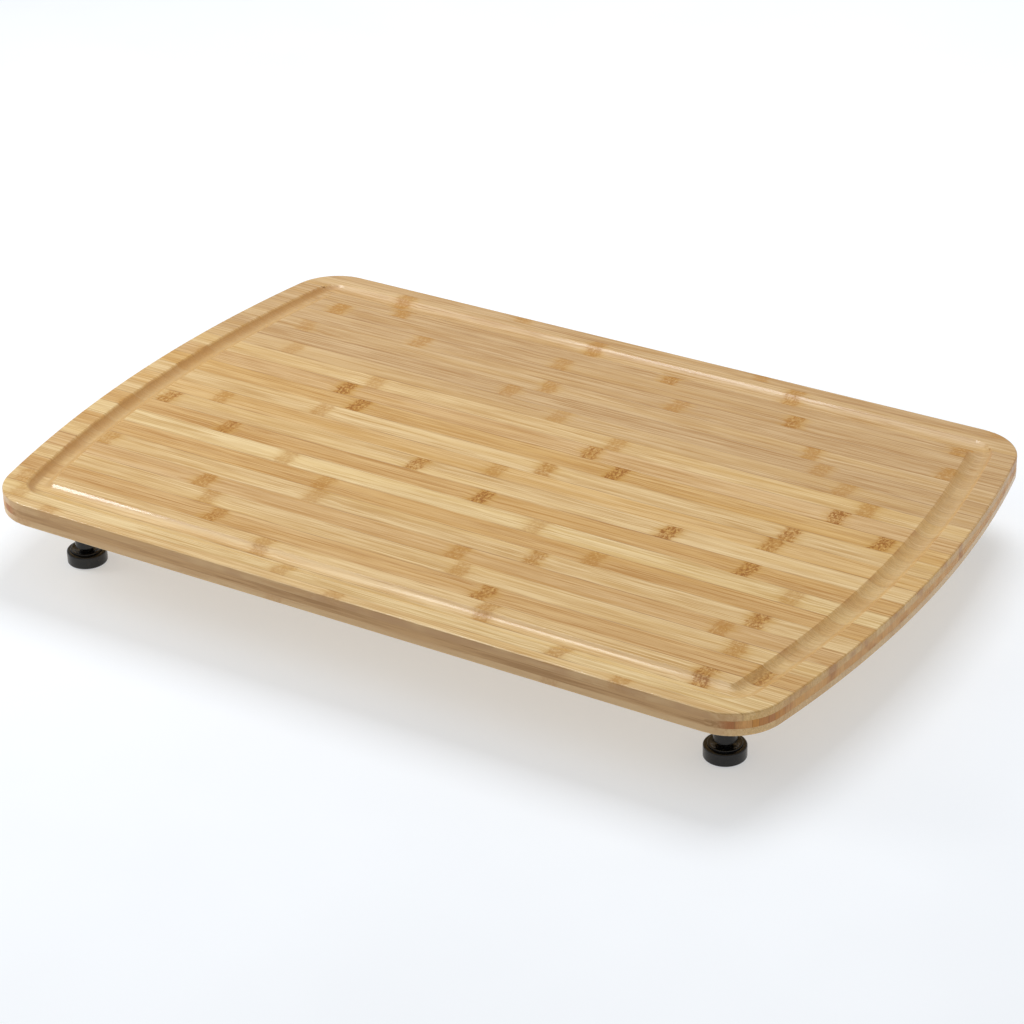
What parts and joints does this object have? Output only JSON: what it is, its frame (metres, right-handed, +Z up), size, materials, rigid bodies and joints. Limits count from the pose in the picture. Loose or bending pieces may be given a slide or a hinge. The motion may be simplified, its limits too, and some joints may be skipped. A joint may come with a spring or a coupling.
{
  "type": "cutting board on adjustable feet",
  "caption": "Rectangular three-ply bamboo cutting board with bowed ends and a juice groove, raised on black screw-adjustable feet.",
  "frame": {"origin": "on the ground at the middle of the bounding box, under the centre of the board", "axes": "+X along the board's long side, +Y to the back, +Z up"},
  "size_m": [0.762, 0.5, 0.0785],
  "materials": {
    "bamboo_01": "oiled bamboo strip, satin",
    "bamboo_02": "oiled bamboo strip, satin",
    "bamboo_03": "oiled bamboo strip, satin",
    "bamboo_04": "oiled bamboo strip, satin",
    "bamboo_05": "oiled bamboo strip, satin",
    "bamboo_06": "oiled bamboo strip, satin",
    "bamboo_07": "oiled bamboo strip, satin",
    "bamboo_08": "oiled bamboo strip, satin",
    "bamboo_09": "oiled bamboo strip, satin",
    "bamboo_10": "oiled bamboo strip, satin",
    "bamboo_11": "oiled bamboo strip, satin",
    "bamboo_12": "oiled bamboo strip, satin",
    "bamboo_13": "oiled bamboo strip, satin",
    "bamboo_14": "oiled bamboo strip, satin",
    "bamboo_15": "oiled bamboo strip, satin",
    "bamboo_16": "oiled bamboo strip, satin",
    "bamboo_17": "oiled bamboo strip, satin",
    "bamboo_18": "oiled bamboo strip, satin",
    "bamboo_19": "oiled bamboo strip, satin",
    "bamboo_20": "oiled bamboo strip, satin",
    "bamboo_21": "oiled bamboo strip, satin",
    "bamboo_22": "oiled bamboo strip, satin",
    "bamboo_23": "oiled bamboo strip, satin",
    "bamboo_24": "oiled bamboo strip, satin",
    "bamboo_underside": "oiled bamboo, satin",
    "bamboo_core": "darker edge-laid bamboo, satin",
    "black_plastic": "glossy black moulded plastic",
    "black_steel": "black-finished steel thread",
    "zinc_steel": "bright zinc-plated steel",
    "black_rubber": "matt black rubber"
  },
  "bodies": {
    "board": {"top_strip_01": "bamboo_01", "top_strip_02": "bamboo_02", "top_strip_03": "bamboo_03", "top_strip_04": "bamboo_04", "top_strip_05": "bamboo_05", "top_strip_06": "bamboo_06", "top_strip_07": "bamboo_07", "top_strip_08": "bamboo_08", "top_strip_09": "bamboo_09", "top_strip_10": "bamboo_10", "top_strip_11": "bamboo_11", "top_strip_12": "bamboo_12", "top_strip_13": "bamboo_13", "top_strip_14": "bamboo_14", "top_strip_15": "bamboo_15", "top_strip_16": "bamboo_16", "top_strip_17": "bamboo_17", "top_strip_18": "bamboo_18", "top_strip_19": "bamboo_19", "top_strip_20": "bamboo_20", "top_strip_21": "bamboo_21", "top_strip_22": "bamboo_22", "top_strip_23": "bamboo_23", "top_strip_24": "bamboo_24", "bottom_strips": "bamboo_underside", "core_ply": "bamboo_core", "flange_screws": "zinc_steel", "socket_fl": "black_plastic", "socket_fr": "black_plastic", "socket_bl": "black_plastic", "socket_br": "black_plastic", "nut_fl": "zinc_steel", "nut_fr": "zinc_steel", "nut_bl": "zinc_steel", "nut_br": "zinc_steel"},
    "base_fl": {"base_fl": "black_plastic", "ring_fl": "black_plastic", "sole_fl": "black_rubber"},
    "spindle_fl": {"spindle_fl": "black_steel"},
    "base_fr": {"base_fr": "black_plastic", "ring_fr": "black_plastic", "sole_fr": "black_rubber"},
    "spindle_fr": {"spindle_fr": "black_steel"},
    "base_bl": {"base_bl": "black_plastic", "ring_bl": "black_plastic", "sole_bl": "black_rubber"},
    "spindle_bl": {"spindle_bl": "black_steel"},
    "base_br": {"base_br": "black_plastic", "ring_br": "black_plastic", "sole_br": "black_rubber"},
    "spindle_br": {"spindle_br": "black_steel"}
  },
  "joints": [
    {"name": "height_fl", "type": "slide", "parent": "board", "child": "base_fl", "axis": [0, 0, -1], "range_m": [-0.00187, 0.01625]},
    {"name": "turn_fl", "type": "hinge", "parent": "base_fl", "child": "spindle_fl", "pos_m": [-0.3032, -0.1904, 0.03], "axis": [0, 0, -1], "range_deg": [-540, 4680]},
    {"name": "height_fr", "type": "slide", "parent": "board", "child": "base_fr", "axis": [0, 0, -1], "range_m": [-0.00187, 0.01625]},
    {"name": "turn_fr", "type": "hinge", "parent": "base_fr", "child": "spindle_fr", "pos_m": [0.3032, -0.1904, 0.03], "axis": [0, 0, -1], "range_deg": [-540, 4680]},
    {"name": "height_bl", "type": "slide", "parent": "board", "child": "base_bl", "axis": [0, 0, -1], "range_m": [-0.00187, 0.01625]},
    {"name": "turn_bl", "type": "hinge", "parent": "base_bl", "child": "spindle_bl", "pos_m": [-0.3032, 0.1904, 0.03], "axis": [0, 0, -1], "range_deg": [-540, 4680]},
    {"name": "height_br", "type": "slide", "parent": "board", "child": "base_br", "axis": [0, 0, -1], "range_m": [-0.00187, 0.01625]},
    {"name": "turn_br", "type": "hinge", "parent": "base_br", "child": "spindle_br", "pos_m": [0.3032, 0.1904, 0.03], "axis": [0, 0, -1], "range_deg": [-540, 4680]}
  ],
  "couplings": [
    {"joint": "turn_fl", "follows": "height_fl", "rad_per_m": 5026.5},
    {"joint": "turn_fr", "follows": "height_fr", "rad_per_m": 5026.5},
    {"joint": "turn_bl", "follows": "height_bl", "rad_per_m": 5026.5},
    {"joint": "turn_br", "follows": "height_br", "rad_per_m": 5026.5}
  ]
}
